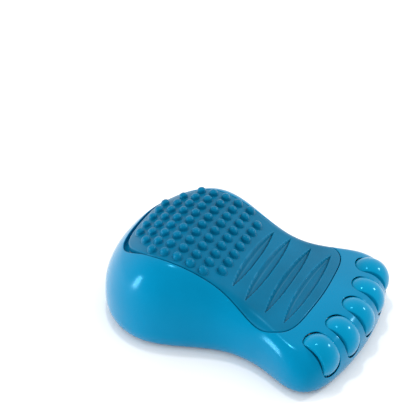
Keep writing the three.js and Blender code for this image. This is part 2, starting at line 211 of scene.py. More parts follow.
def form_top(plan):
    """Height of the housing's outer form over places in plan inside the shoulder."""
    flat = np.reshape(plan, (-1, 2))
    heights = []
    for first in range(0, len(flat), 4000):
        here = flat[first:first + 4000]
        away = here[:, None] - LINE_START[None]
        side = away[..., 0] * LINE_WAY[None, :, 1] - away[..., 1] * LINE_WAY[None, :, 0]
        ahead = (away * LINE_WAY[None]).sum(-1)
        cut = (side[:, :-1] * side[:, 1:] <= 0) & (ahead[:, :-1] > 0)
        line = np.where(cut, ahead[:, :-1], np.inf).argmin(1)
        rows = np.arange(len(here))
        before, after = side[rows, line], side[rows, line + 1]
        gap = np.where(before == after, 1, before - after)
        t = LINE_T[line] + (LINE_T[1] - LINE_T[0]) * np.clip(before / gap, 0, 1)
        start = on_ring(HOUSING_RING, t)
        w = turn_at(np.linalg.norm(here - start, axis=1), along(SHOULDER, start[:, 0]))
        rise = np.sin(np.clip(w, 0, 1) * np.pi / 2) ** POWER
        heights.append(BELT_Z + (deck(here) - BELT_Z) * rise)
    return np.concatenate(heights).reshape(np.shape(plan)[:-1])


def lifted(plan, z):
    z = np.broadcast_to(z, np.shape(plan)[:-1])
    return np.concatenate([plan, z[..., None]], -1)


# ---------------------------------------------------------------- meshes
def border(kept, outside):
    """Edges of a grid between a cell that is kept and one that isn't, as pairs of grid points."""
    padded = np.pad(kept, 1, constant_values=outside)
    i, j = np.nonzero(padded[:-1, 1:-1] != padded[1:, 1:-1])
    upright = np.stack([np.stack([i, j], -1), np.stack([i, j + 1], -1)], 1)
    i, j = np.nonzero(padded[1:-1, :-1] != padded[1:-1, 1:])
    level = np.stack([np.stack([i, j], -1), np.stack([i + 1, j], -1)], 1)
    return np.concatenate([upright, level])


def edge_distance(outline, points):
    """Distance from points in plan to a closed outline, positive inside."""
    a, b = outline, np.roll(outline, -1, 0)
    edge = b - a
    square = (edge**2).sum(1)
    found = []
    for first in range(0, len(points), 4000):
        away = points[first:first + 4000, None] - a[None]
        share = np.clip((away * edge).sum(-1) / square, 0, 1)
        nearest = np.sqrt(((away - share[..., None] * edge) ** 2).sum(-1)).min(1)
        y = points[first:first + 4000, None, 1]
        spans = (a[None, :, 1] > y) != (b[None, :, 1] > y)
        slope = edge[:, 0] / np.where(edge[:, 1] == 0, 1, edge[:, 1])
        right = away[..., 0] < slope * away[..., 1]
        inside = (spans & right).sum(1) % 2 == 1
        found.append(np.where(inside, nearest, -nearest))
    return np.concatenate(found)


class Net:
    """A mesh that grows by loops of points, bands between them, and sheets that fill them."""

    def __init__(self):
        self.blocks, self.faces, self.count = [], [], 0

    def add(self, points):
        block = np.reshape(points, (-1, 3))
        self.blocks.append(block)
        self.count += len(block)
        return np.arange(self.count - len(block), self.count)

    def at(self, index):
        return np.concatenate(self.blocks)[index]

    def band(self, lower, upper):
        quads = np.stack([lower, np.roll(lower, -1), np.roll(upper, -1), upper], -1)
        self.faces += quads.tolist()

    def rows(self, rings, below=None):
        """Bands through rings of points, from a loop that is already there; gives the last loop."""
        for ring in rings:
            loop = self.add(ring)
            if below is not None:
                self.band(below, loop)
            below = loop
        return below

    def fill(self, index, kept, loops, outside=False):
        """Triangles between the kept cells of a grid and the loops beside them.
        A loop is its points, their places in grid coordinates, and whether the surface is inside it."""
        nodes, ends = np.unique(border(kept, outside).reshape(-1, 2), axis=0, return_inverse=True)
        places, names, links = [nodes.astype(float)], [index[nodes[:, 0], nodes[:, 1]]], [ends.reshape(-1, 2)]
        count = len(nodes)
        for loop, place, _ in loops:
            step = np.arange(len(loop))
            places.append(place)
            names.append(loop)
            links.append(np.stack([step, np.roll(step, -1)], -1) + count)
            count += len(loop)
        places, names, links = (np.concatenate(group) for group in (places, names, links))
        flat = [Vector(place) for place in places.tolist()]
        spots, _, faces, origin, _, _ = delaunay_2d_cdt(flat, links.tolist(), [], 0, 1e-7, True)
        triangles = np.array([list(face) for face in faces])
        middle = np.array([tuple(spot) for spot in spots])[triangles].mean(1)
        cell = np.floor(middle).astype(int)
        within = (cell >= 0).all(1) & (cell < kept.shape).all(1)
        cell = np.clip(cell, 0, np.array(kept.shape) - 1)
        held = kept[cell[:, 0], cell[:, 1]]
        used = (within & ~held) if outside else ~(within & held)
        for _, place, inside in loops:
            used &= (edge_distance(place, middle) > 0) == inside
        names = names[[first[0] for first in origin]]
        self.faces += names[triangles[used]].tolist()

    def sheet(self, rim, height, pitch, holes=(), phase=(0.0, 0.0)):
        """Fills a loop in plan with a grid at a height that is a function of the place.
        Round holes, each a loop that is already there, its centre and its radius, stay open."""
        outline = self.at(rim)[:, :2]
        low = np.floor((outline.min(0) - phase) / pitch).astype(int)
        high = np.ceil((outline.max(0) - phase) / pitch).astype(int)
        steps = np.stack(np.meshgrid(*[np.arange(low[k], high[k] + 1) for k in (0, 1)], indexing="ij"), -1)
        grid = np.array(phase) + steps * pitch
        good = (edge_distance(outline, grid.reshape(-1, 2)) > SHEET_CLEAR * pitch).reshape(grid.shape[:2])
        for _, centre, radius in holes:
            good &= np.linalg.norm(grid - np.array(centre), axis=-1) > radius + SHEET_CLEAR * pitch
        kept = good[:-1, :-1] & good[1:, :-1] & good[1:, 1:] & good[:-1, 1:]
        used = np.pad(kept, 1)
        used = used[:-1, :-1] | used[1:, :-1] | used[1:, 1:] | used[:-1, 1:]
        plan = grid[used]
        index = np.full(used.shape, -1)
        index[used] = self.add(lifted(plan, height(plan)))
        corners = [index[:-1, :-1], index[1:, :-1], index[1:, 1:], index[:-1, 1:]]
        self.faces += np.stack([c[kept] for c in corners], -1).tolist()
        loops = [(rim, True)] + [(loop, False) for loop, _, _ in holes]
        self.fill(index, kept, [(loop, (self.at(loop)[:, :2] - phase) / pitch - low, inside)
                                for loop, inside in loops])

    def piece(self, name, paint, body, replaced=(), sharp=40):
        mesh = bpy.data.meshes.new(name)
        points = np.concatenate(self.blocks) * MM
        mesh.from_pydata(points.tolist(), [], self.faces)
        work = bmesh.new()
        work.from_mesh(mesh)
        bmesh.ops.remove_doubles(work, verts=work.verts, dist=0.002 * MM)
        loose = [v for v in work.verts if not v.link_faces]
        bmesh.ops.delete(work, geom=loose, context="VERTS")
        bmesh.ops.recalc_face_normals(work, faces=work.faces)
        work.to_mesh(mesh)
        work.free()
        mesh.shade_smooth()
        mesh.set_sharp_from_angle(angle=math.radians(sharp))
        mesh.materials.append(paint)
        made = bpy.data.objects.new(name, mesh)
        bpy.context.scene.collection.objects.link(made)
        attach(made, body)
        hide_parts(*replaced)
        return made


def circle(centre, radius, count):
    turn = np.arange(count) * 2 * np.pi / count
    return np.array(centre) + radius * np.stack([np.cos(turn), np.sin(turn)], -1)


def corner(a, middle, b, steps):
    """Rings that turn from ring a to ring b round a rounded corner, without a itself."""
    out = []
    for u in np.linspace(0, 1, steps + 1)[1:]:
        out.append((1 - u) ** 2 * a + 2 * u * (1 - u) * middle + u**2 * b)
    return out


def turned(net, profile, segments, place):
    """Surface of revolution through (radius, height) points, put in place by a function."""
    turn = np.arange(segments) * 2 * np.pi / segments
    rings = []
    for radius, height in profile:
        ring = np.stack([radius * np.cos(turn), radius * np.sin(turn), np.full(segments, float(height))], -1)
        rings.append(place(ring))
    net.rows(rings)


def rounded(points, radius, steps=4):
    """Profile with its inner corners rounded."""
    points = [np.array(p, float) for p in points]
    out = [points[0]]
    for before, here, after in zip(points, points[1:], points[2:]):
        r = min(radius, np.linalg.norm(before - here) * 0.45, np.linalg.norm(after - here) * 0.45)
        a = here + (before - here) / np.linalg.norm(before - here) * r
        b = here + (after - here) / np.linalg.norm(after - here) * r
        out += [a, *corner(a, here, b, steps)]
    return out + [points[-1]]


# ---------------------------------------------------------------- materials
class Paint:
    """A procedural material, built up node by node."""

    def __init__(self, name, **constants):
        self.material = bpy.data.materials.new(name)
        self.material.use_nodes = True
        self.tree = self.material.node_tree
        self.tree.nodes.clear()
        self.shader = self.new("ShaderNodeBsdfPrincipled")
        self.link(self.shader.outputs[0], self.new("ShaderNodeOutputMaterial").inputs[0])
        self.place = self.new("ShaderNodeTexCoord").outputs["Object"]
        for socket, value in constants.items():
            self.shader.inputs[socket.replace("_", " ")].default_value = value

    def new(self, kind):
        return self.tree.nodes.new(kind)

    def link(self, output, socket):
        self.tree.links.new(output, socket)

    def noise(self, size, detail=2.0, stretch=(1, 1, 1), roughness=0.5):
        """Noise whose features are about size millimetres."""
        mapping, texture = self.new("ShaderNodeMapping"), self.new("ShaderNodeTexNoise")
        mapping.inputs["Scale"].default_value = stretch
        texture.inputs["Scale"].default_value = 1 / (size * MM)
        texture.inputs["Detail"].default_value = detail
        texture.inputs["Roughness"].default_value = roughness
        self.link(self.place, mapping.inputs["Vector"])
        self.link(mapping.outputs[0], texture.inputs["Vector"])
        return texture.outputs[0]

    def span(self, value, low, high, source=(0.3, 0.7)):
        ranged = self.new("ShaderNodeMapRange")
        self.link(value, ranged.inputs["Value"])
        for socket, number in zip(("From Min", "From Max", "To Min", "To Max"), (*source, low, high)):
            ranged.inputs[socket].default_value = number
        return ranged.outputs[0]

    def mix(self, share, a, b):
        mixed = self.new("ShaderNodeMix")
        mixed.data_type = "RGBA"
        self.link(share, mixed.inputs[0])
        for value, socket in ((a, mixed.inputs[6]), (b, mixed.inputs[7])):
            if isinstance(value, tuple):
                socket.default_value = (*value, 1)
            else:
                self.link(value, socket)
        return mixed.outputs[2]

    def times(self, a, b):
        node = self.new("ShaderNodeMath")
        node.operation = "MULTIPLY"
        self.link(a, node.inputs[0])
        self.link(b, node.inputs[1])
        return node.outputs[0]

    def bump(self, height, depth, normal=None):
        """Relief of a given depth in millimetres."""
        node = self.new("ShaderNodeBump")
        node.inputs["Distance"].default_value = depth * MM
        node.inputs["Strength"].default_value = 1
        self.link(height, node.inputs["Height"])
        if normal is not None:
            self.link(normal, node.inputs["Normal"])
        return node.outputs[0]

    def edges(self, low=0.52, high=0.6):
        """1 on convex edges, 0 elsewhere."""
        return self.span(self.new("ShaderNodeNewGeometry").outputs["Pointiness"], 0, 1, (low, high))

    def finish(self, colour=None, roughness=None, normal=None):
        for value, socket in ((colour, "Base Color"), (roughness, "Roughness"), (normal, "Normal")):
            if value is not None:
                self.link(value, self.shader.inputs[socket])
        return self.material


def shade(colour, factor):
    return tuple(min(c * factor, 1) for c in colour)


SHELL_BLUE, ROLLER_BLUE = (0.0002, 0.195, 0.375), (0.001, 0.235, 0.43)
BLUE_GLARE = (0.04, 0.5, 0.8)      # the dyed plastic tints what it reflects


def gloss_plastic(name, colour, rough, flow=(1, 1, 0.35)):
    """Polished moulded plastic: flow clouding, orange peel, fine handling scratches, and a painted highlight
    that lightens its convex edges in patches.
    """
    paint = Paint(name, IOR=1.49, Specular_IOR_Level=0.35, Specular_Tint=(*BLUE_GLARE, 1))
    cloud = paint.span(paint.noise(34, 3, flow), 0, 1)
    speck = paint.span(paint.noise(0.8, 3), 0, 0.35)
    tone = paint.mix(cloud, shade(colour, 0.93), shade(colour, 1.06))
    tone = paint.mix(speck, tone, shade(colour, 0.9))
    # painted highlight: convex edges lightened in patches, as if they caught the light
    tone = paint.mix(paint.times(paint.edges(), paint.span(paint.noise(3, 3), 0.15, 0.5)), tone,
                     shade(colour, 1.3))
    smudge = paint.span(paint.noise(16, 4, (1, 1.6, 1)), rough * 0.75, rough * 1.35)
    peel = paint.bump(paint.noise(2.6, 1), 0.006)
    scratch = paint.bump(paint.noise(0.5, 2, (0.05, 1, 1)), 0.0025, peel)
    return paint.finish(tone, smudge, scratch)


def pad_elastomer():
    """Soft satin elastomer: fine matt grain, rubbed glossier on its high points, with painted shade darkening
    its dips and a painted highlight lightening its high points.
    """
    colour = (0.0002, 0.125, 0.245)
    paint = Paint("pad_elastomer", IOR=1.5, Specular_IOR_Level=0.3, Specular_Tint=(*BLUE_GLARE, 1),
                  Coat_Weight=0.02, Coat_Roughness=0.2)
    cloud = paint.span(paint.noise(22, 3), 0, 1)
    tone = paint.mix(cloud, shade(colour, 0.9), shade(colour, 1.1))
    # painted shade: concave dips darkened, as if shadowed
    tone = paint.mix(paint.edges(0.49, 0.44), tone, shade(colour, 0.35))
    # painted highlight: convex high points and nub tops lightened in patches, as if lit
    tone = paint.mix(paint.times(paint.edges(0.5, 0.6), paint.span(paint.noise(2.5, 2), 0.5, 1)), tone,
                     shade(colour, 1.55))
    rough = paint.mix(paint.edges(0.5, 0.58), (0.34,) * 3, (0.2,) * 3)
    grain = paint.bump(paint.noise(0.35, 2), 0.008)
    return paint.finish(tone, rough, paint.bump(paint.noise(4, 2), 0.02, grain))


def cover_plastic():
    """Moulded cover with a spark-eroded texture."""
    colour = (0.0015, 0.20, 0.38)
    paint = Paint("cover_plastic", IOR=1.49, Specular_Tint=(*BLUE_GLARE, 1))
    tone = paint.mix(paint.span(paint.noise(26, 3), 0, 1), shade(colour, 0.88), shade(colour, 1.08))
    tone = paint.mix(paint.span(paint.noise(0.5, 2), 0, 0.4), tone, shade(colour, 0.7))
    rough = paint.span(paint.noise(9, 3), 0.42, 0.56)
    return paint.finish(tone, rough, paint.bump(paint.noise(0.45, 3, roughness=0.7), 0.03))


def acetal():
    colour = (0.72, 0.74, 0.76)
    paint = Paint("natural_acetal", IOR=1.48, Subsurface_Weight=0.15, Subsurface_Scale=0.002)
    tone = paint.mix(paint.span(paint.noise(12, 3), 0, 1), shade(colour, 0.93), shade(colour, 1.03))
    rough = paint.span(paint.noise(5, 3), 0.38, 0.52)
    return paint.finish(tone, rough, paint.bump(paint.noise(0.7, 2), 0.01))


def zinc_steel():
    colour = (0.60, 0.61, 0.63)
    paint = Paint("zinc_steel", Metallic=1.0)
    tone = paint.mix(paint.span(paint.noise(1.6, 4), 0, 1), shade(colour, 0.82), shade(colour, 1.1))
    rough = paint.span(paint.noise(0.9, 3, (1, 1, 0.1)), 0.22, 0.38)
    return paint.finish(tone, rough, paint.bump(paint.noise(0.25, 2, (1, 1, 0.15)), 0.004))


def foot_rubber():
    colour = (0.022, 0.023, 0.025)
    paint = Paint("foot_rubber", IOR=1.5, Sheen_Weight=0.15, Sheen_Roughness=0.5)
    tone = paint.mix(paint.span(paint.noise(3, 4), 0, 1), shade(colour, 0.75), shade(colour, 1.7))
    rough = paint.span(paint.noise(1.5, 3), 0.62, 0.85)
    return paint.finish(tone, rough, paint.bump(paint.noise(0.3, 3), 0.03))


# ---------------------------------------------------------------- rollers' places, from the frame
def axle_of(i):
    joint = next(j for j in frame["joints"] if j["child"] == f"roller_{i + 1}")
    return np.array(joint["pos_m"]) / MM, np.array(joint["axis"], float)


AXLES = [axle_of(i) for i in range(5)]


def at_roller(i):
    """Puts a form made about Z on its side at roller i, its Z along the axle."""
    centre, axis = AXLES[i]
    forward = np.cross(axis, (0, 0, 1))
    frame_axes = np.stack([forward, (0, 0, 1), axis])
    return lambda points: points @ frame_axes + centre


def slot_field(points, i):
    """Below 0 inside the slot of roller i, and about the distance to it outside."""
    centre, axis = AXLES[i]
    away = points - centre
    across = np.abs(away @ axis) - ROLLER_HALF - SLOT_GAP
    out = np.linalg.norm(away, axis=-1) - ROLLER_R - SLOT_GAP
    blend = 2.0
    overlap = np.maximum(blend - np.abs(across - out), 0) / blend
    return np.maximum(across, out) + overlap**2 * blend / 4


def slot_slope(points, i):
    step = 0.01
    slope = [slot_field(points + d, i) - slot_field(points - d, i) for d in np.eye(3) * step]
    slope = np.stack(slope, -1)
    return slope / np.linalg.norm(slope, axis=-1)[..., None]


def onto_slot(points, i):
    """Moves points square onto the wall of slot i."""
    for _ in range(3):
        points = points - slot_field(points, i)[..., None] * slot_slope(points, i)
    return points


# ---------------------------------------------------------------- top shell
class Skin:
    """One side of the housing's wall as a grid of columns and rows, with slots through it.
    The grid stays clear of the slots' walls by a distance, which triangles fill."""

    def __init__(self, net, t, end, rows, wall, clear):
        self.net, self.t, self.wall, self.clear = net, t, wall, clear
        fine = np.linspace(0, 1, 500)
        w = -1 + (end[:, None] + 1) * fine
        path = skin(np.repeat(t[:, None], len(fine), 1), w, wall)
        run = np.cumsum(np.linalg.norm(np.diff(path, axis=1), axis=2), axis=1)
        run = np.concatenate([np.zeros((len(t), 1)), run], 1)
        self.w = np.stack([np.interp(np.linspace(0, r[-1], rows + 1), r, row) for r, row in zip(run, w)])
        self.points = skin(np.repeat(t[:, None], rows + 1, 1), self.w, wall)
        self.index = net.add(self.points).reshape(self.points.shape[:2])

    def at(self, column, row):
        column = np.clip(column, 0, len(self.t) - 1.001)
        row = np.clip(row, 0, self.w.shape[1] - 1.001)
        c, r = np.floor(column).astype(int), np.floor(row).astype(int)
        f, g = column - c, row - r
        t = self.t[c] * (1 - f) + self.t[c + 1] * f
        w = (self.w[c, r] * (1 - f) + self.w[c + 1, r] * f) * (1 - g)
        w = w + (self.w[c, r + 1] * (1 - f) + self.w[c + 1, r + 1] * f) * g
        return skin(t, w, self.wall)

    def crossing(self, i, turns, level):
        """Where rays over the skin, from the middle of slot i, come to a level of its field."""
        inside = np.argwhere(slot_field(self.points, i) < 0)
        middle = inside.mean(0)
        reach = np.linspace(0, 40, 161)
        way = np.stack([np.cos(turns), np.sin(turns)], -1)

        def along_ray(s):
            place = middle + way.reshape(-1, *[1] * (s.ndim - 1), 2) * s[..., None]
            return place, self.at(place[..., 0], place[..., 1])

        field = slot_field(along_ray(np.repeat(reach[None], len(turns), 0))[1], i)
        far = (field > level).argmax(1)
        low, high = reach[far - 1], reach[far]
        for _ in range(14):
            half = (low + high) / 2
            beyond = slot_field(along_ray(half)[1], i) > level
            low, high = np.where(beyond, low, half), np.where(beyond, half, high)
        return along_ray((low + high) / 2)

    def build(self, slots):
        """Adds the grid's faces, and joins them to a loop of points round each slot."""
        near = np.min([slot_field(self.points, i) for i in range(len(slots))], 0) < self.clear
        following = np.roll(near, -1, 0)
        kept = ~(near[:, :-1] | near[:, 1:] | following[:, :-1] | following[:, 1:])
        a, b = self.index, np.roll(self.index, -1, 0)
        self.net.faces += np.stack([a[:, :-1], b[:, :-1], b[:, 1:], a[:, 1:]], -1)[kept].tolist()
        self.net.fill(self.index, kept[:-1], [(loop, place, False) for loop, place in slots], True)


def slot_rings(outer, inner, i):
    """Rings from the outer skin, over a rounded edge and through the wall, to the inner skin."""
    turns = np.linspace(0, 2 * np.pi, 721)
    _, edge = outer.crossing(i, turns, 0.0)
    run = np.concatenate([[0], np.cumsum(np.linalg.norm(np.diff(edge, axis=0), axis=1))])
    turns = np.interp(np.arange(SLOT_POINTS) * run[-1] / SLOT_POINTS, run, turns)
    outer_places, outside = outer.crossing(i, turns, SLOT_EDGE_R)
    _, edge = outer.crossing(i, turns, 0.0)
    inner_places, inside = inner.crossing(i, turns, 0.0)
    down = inside - edge
    down = edge + down / np.linalg.norm(down, axis=1)[:, None] * SLOT_EDGE_R * 1.3
    down = onto_slot(down, i)
    rings = [outside, *corner(outside, edge, down, 5)]
    for share in (0.33, 0.66):
        rings.append(onto_slot(down + (inside - down) * share, i))
    return rings + [inside], outer_places, inner_places


def screw_post(net, place):
    """Round post under the tray, with a blind hole for a cover screw."""
    rim = circle(place, POST_R, 4)
    low = form_top(rim).min() - PAD_THICK - PAD_REST - 0.6
    profile = [(0, POST_HOLE_TOP), (POST_HOLE_R, POST_HOLE_TOP), (POST_HOLE_R, POST_LOW), (POST_R, POST_LOW),
               (POST_R, low), (0, low)]
    turned(net, rounded(profile, 0.35, 2), 28, lambda ring: ring + (*place, 0))


def top_shell(paint):
    net = Net()
    t = even_places(HOUSING_RING, COLUMNS)
    radius = along(SHOULDER, draw_lines(t)[0][:, 0])
    lip, lip_start = depth_to(t, well_curve(0)), depth_to(t, well_curve(LIP_R))
    tray = depth_to(t, well_curve(TRAY_WALL))
    outer = Skin(net, t, turn_at(lip_start, radius), OUTER_ROWS, 0, SLOT_EDGE_R + 0.2)
    fine = np.linspace(-1, 8, 3000)
    inner_end = []
    for one_t, one_radius, goal in zip(t, radius, tray):
        turn = np.clip(fine, 0, 1) * np.pi / 2
        depth = one_radius * (1 - np.maximum(np.cos(turn), 0) ** POWER) + np.maximum(fine - 1, 0) * DECK_STEP
        inner_end.append(fine[(depth + WALL * np.cos(turn) > goal) & (fine > 0)][0])
    inner = Skin(net, t, np.array(inner_end), INNER_ROWS, WALL, 0.2)
    outer_slots, inner_slots = [], []
    for i in range(5):
        rings, outer_places, inner_places = slot_rings(outer, inner, i)
        first = net.add(rings[0])
        outer_slots.append((first, outer_places))
        inner_slots.append((net.rows(rings[1:], first), inner_places))
    outer.build(outer_slots)
    inner.build(inner_slots)
    net.band(inner.index[:, 0], outer.index[:, 0])

    # Lip, well wall and tray floor.
    floor_drop = PAD_THICK + PAD_REST
    edge, wall_top = sunk(t, lip), sunk(t, lip, LIP_R)
    rings = corner(outer.points[:, -1], edge, wall_top, 5)
    rings += [sunk(t, lip, drop) for drop in (1.8, 2.8, floor_drop - 0.6)]
    rings += corner(rings[-1], sunk(t, lip, floor_drop), sunk(t, lip + 0.6, floor_drop), 3)
    floor = net.rows(rings, outer.index[:, -1])

    # Tray wall and underside.
    under_drop = floor_drop + TRAY_WALL
    top = inner.points[:, -1]
    bottom = sunk(t, tray, under_drop)
    rings = [top + (bottom - top) * share for share in (0.3, 0.6, 0.9)]
    rings += corner(rings[-1], bottom, sunk(t, tray + 0.5, under_drop), 3)
    underside = net.rows(rings, inner.index[:, -1])

    holes = []
    for place in PEGS:
        plan = circle(place, PEG_R + PEG_PLAY, 32)
        wide = circle(place, PEG_R + PEG_PLAY + 0.3, 32)
        high, low = form_top(plan) - floor_drop, form_top(plan) - under_drop
        first = net.add(lifted(wide, form_top(wide) - floor_drop))
        last = net.rows([lifted(plan, high - 0.3), lifted(plan, (high + low) / 2), lifted(plan, low)], first)
        holes.append((place, first, last))
    net.sheet(floor, lambda p: form_top(p) - floor_drop, 1.0,
              [(first, place, PEG_R + PEG_PLAY + 0.3) for place, first, _ in holes])
    net.sheet(underside, lambda p: form_top(p) - under_drop, 1.3,
              [(last, place, PEG_R + PEG_PLAY) for place, _, last in holes])
    for place in SCREW_PADS:
        screw_post(net, place)
    return net.piece("top_shell_moulding", paint, "housing", ["top_shell"])


# ---------------------------------------------------------------- massage pad
def groove_depth(plan):
    """Leaf-shaped scoops across the pad, pointed at both ends."""
    deepest = np.zeros(len(plan))
    for x, half_length, width in GROOVES:
        lens = width / 2 * np.clip(1 - (np.abs(plan[:, 1]) / half_length) ** 2.4, 1e-6, 1)
        across = np.clip((plan[:, 0] - x) / lens, -1, 1)
        depth = GROOVE_DEEP * np.sqrt(2 * lens / width) * (1 - across**4) ** 1.3
        deepest = np.maximum(deepest, np.where(np.abs(plan[:, 1]) < half_length, depth, 0))
    return deepest


def pad_top(plan):
    return form_top(plan) - groove_depth(plan)


def nub_places():
    outline = pad_curve(0, 400)
    places = []
    for row in range(NUB_ROWS):
        reach = NUB_COLUMNS - 1 if row == NUB_ROWS - 1 else NUB_COLUMNS
        for column in range(-reach, reach + 1):
            places.append((NUB_FIRST_X + row * NUB_PITCH, column * NUB_PITCH))
    distance = edge_distance(outline, np.array(places))
    return [place for place, d in zip(places, distance) if d > NUB_MARGIN]


NUB_R, NUB_NECK, NUB_HIGH = 2.62, 1.3, 2.1      # the dome: radius, foot and height
NUB_PROFILE = [(2.95, 0), (2.86, 0.12), (2.79, 0.35), (2.74, 0.7), (2.68, 1.0)]


def nub(net, place):
    """Round-headed nub on a small fillet; gives its lowest loop."""
    turns = np.radians(range(10, 100, 10))
    dome = [(NUB_R * math.cos(a), NUB_NECK + NUB_HIGH * math.sin(a)) for a in turns]
    profile = NUB_PROFILE + dome[:-1]
    base = form_top(np.array([place]))[0]
    rings = []
    for k, (radius, high) in enumerate(profile):
        plan = circle(place, radius, NUB_SIDES)
        follow = 1 - 0.5 * k / len(profile)      # the nub's top follows the pad's slope less
        rings.append(lifted(plan, base + (form_top(plan) - base) * follow + high))
    first = net.add(rings[0])
    last = net.rows(rings[1:], first)
    tip = net.add([(*place, base + dome[-1][1])])[0]
    net.faces += [[last[k], last[(k + 1) % NUB_SIDES], tip] for k in range(NUB_SIDES)]
    return first


def massage_pad(paint):
    net = Net()
    r = PAD_EDGE_R
    rings = []
    for angle in np.radians(np.linspace(0, 90, 7)):
        plan = pad_curve(-r * (1 - math.sin(angle)))
        rings.append(lifted(plan, form_top(plan) - r * (1 - math.cos(angle))))
    plan = pad_curve(0)
    side = form_top(plan)
    rings += [lifted(plan, side - drop) for drop in (1.9, 2.8, PAD_THICK - 0.5)]
    inner = pad_curve(-0.5)
    under = lifted(inner, form_top(inner) - PAD_THICK)
    rings += corner(rings[-1], lifted(plan, side - PAD_THICK), under, 3)
    top = net.add(rings[0])
    bottom = net.rows(rings[1:], top)
    nubs = [(nub(net, place), place, NUB_PROFILE[0][0]) for place in nub_places()]
    net.sheet(top, pad_top, NUB_PITCH / PAD_CELLS, nubs, (NUB_FIRST_X, 0))
    pegs = []
    for place in PEGS:
        high = form_top(np.array([place]))[0] - PAD_THICK
        root = circle(place, PEG_R + 0.3, 32)
        first = net.add(lifted(root, form_top(root) - PAD_THICK))
        shape = [(PEG_R, high - 0.4), (PEG_R, high - PEG_LONG + 1.2), (PEG_R - 0.12, high - PEG_LONG + 0.9),
                 (PEG_R - 0.6, high - PEG_LONG + 0.6), (0, high - PEG_LONG + 0.6)]
        net.rows([lifted(circle(place, radius, 32), z) for radius, z in shape], first)
        pegs.append((first, place, PEG_R + 0.3))
    net.sheet(bottom, lambda p: form_top(p) - PAD_THICK, 1.2, pegs)
    return net.piece("massage_pad_moulding", paint, "pad", ["massage_pad"])


# ---------------------------------------------------------------- rollers and axles
def toe_roller(i, paint):
    """Barrel cut from a ball, with rounded edges, a recessed face and a hub at each end."""
    end = math.asin(ROLLER_HALF / ROLLER_R)
    flat = ROLLER_R * math.cos(end)
    hub, dish = ROLLER_HALF, ROLLER_HALF - 0.7
    face = [(1.7, 0), (1.7, hub - 0.05), (3.3, hub - 0.05), (3.6, dish), (flat - 2.6, dish),
            (flat - 2.3, ROLLER_HALF)]
    barrel = [(ROLLER_R * math.cos(a), ROLLER_R * math.sin(a)) for a in np.linspace(end, 0, 16)]
    half = rounded(face, 0.25, 3)[:-1] + rounded([(flat - 2.3, ROLLER_HALF), barrel[0], barrel[2]], 0.8, 5)
    half += barrel[3:]
    profile = half + [(r, -z) for r, z in half[-2:0:-1]]
    net = Net()
    turned(net, [*profile, profile[0]], 112, at_roller(i))
    return net.piece(f"toe_roller_barrel_{i + 1}", paint, f"roller_{i + 1}",
                     [f"toe_roller_{i + 1}"])


def roller_axle(i, paint):
    half = [(0, AXLE_HALF), (AXLE_R - 0.3, AXLE_HALF), (AXLE_R, AXLE_HALF - 0.3), (AXLE_R, 0)]
    profile = half + [(r, -z) for r, z in half[-2::-1]]
    net = Net()
    turned(net, rounded(profile, 0.1, 2), 36, at_roller(i))
    return net.piece(f"roller_axle_pin_{i + 1}", paint, "housing", [f"roller_axle_{i + 1}"])


# ---------------------------------------------------------------- base cover, screws and feet
def comb_places(angles):
    turns = np.radians(angles)
    return [(ARC_X + COMB_SCREW_R * math.cos(a), COMB_SCREW_R * math.sin(a)) for a in turns]


def base_cover(paint):
    """Flat cover with rounded edges, screw counterbores, bosses and foot sockets."""
    net = Net()
    t = even_places(HOUSING_RING, COLUMNS)
    start, way, _ = draw_lines(t)
    depth = TUCK + WALL + GAP

    def ring(inwards, z):
        return lifted(start + way * (depth + inwards), z)

    low = net.add(ring(COVER_EDGE_R, RIM_Z))
    rings = corner(ring(COVER_EDGE_R, RIM_Z), ring(0, RIM_Z), ring(0, RIM_Z + COVER_EDGE_R), 4)
    rings += corner(ring(0, COVER_TOP - 0.3), ring(0, COVER_TOP), ring(0.3, COVER_TOP), 3)
    high = net.rows(rings, low)
    below, above = [], []
    for place in SCREW_PADS + comb_places(CRADLE_SCREWS):
        boss = place in SCREW_PADS
        top = BOSS_TOP if boss else COVER_TOP
        seat = RIM_Z + COUNTERBORE_DEEP
        profile = [(COUNTERBORE_R + 0.2, RIM_Z), (COUNTERBORE_R, RIM_Z + 0.2), (COUNTERBORE_R, seat),
                   (SCREW_HOLE_R, seat), (SCREW_HOLE_R, top - 0.2), (SCREW_HOLE_R + 0.2, top)]
        if boss:
            profile += [(BOSS_R - 0.3, top), (BOSS_R, top - 0.3), (BOSS_R, COVER_TOP)]
        loops = [net.add(lifted(circle(place, radius, 48), z)) for radius, z in profile]
        for lower, upper in zip(loops, loops[1:]):
            net.band(lower, upper)
        below.append((loops[0], place, COUNTERBORE_R + 0.2))
        above.append((loops[-1], place, profile[-1][0]))
    for place in FEET:
        socket = FOOT_R + SOCKET_PLAY
        profile = [(socket + 0.05, RIM_Z), (socket, RIM_Z + 0.05), (socket, SOCKET_TOP), (0, SOCKET_TOP)]
        loops = [net.add(lifted(circle(place, radius, 64), z)) for radius, z in profile]
        for lower, upper in zip(loops, loops[1:]):
            net.band(lower, upper)
        below.append((loops[0], place, socket + 0.05))
    net.sheet(low, lambda p: np.full(len(p), float(RIM_Z)), 1.2, below)
    net.sheet(high, lambda p: np.full(len(p), COVER_TOP), 1.6, above)
    return net.piece("base_cover_moulding", paint, "housing", ["base_cover"], 35)


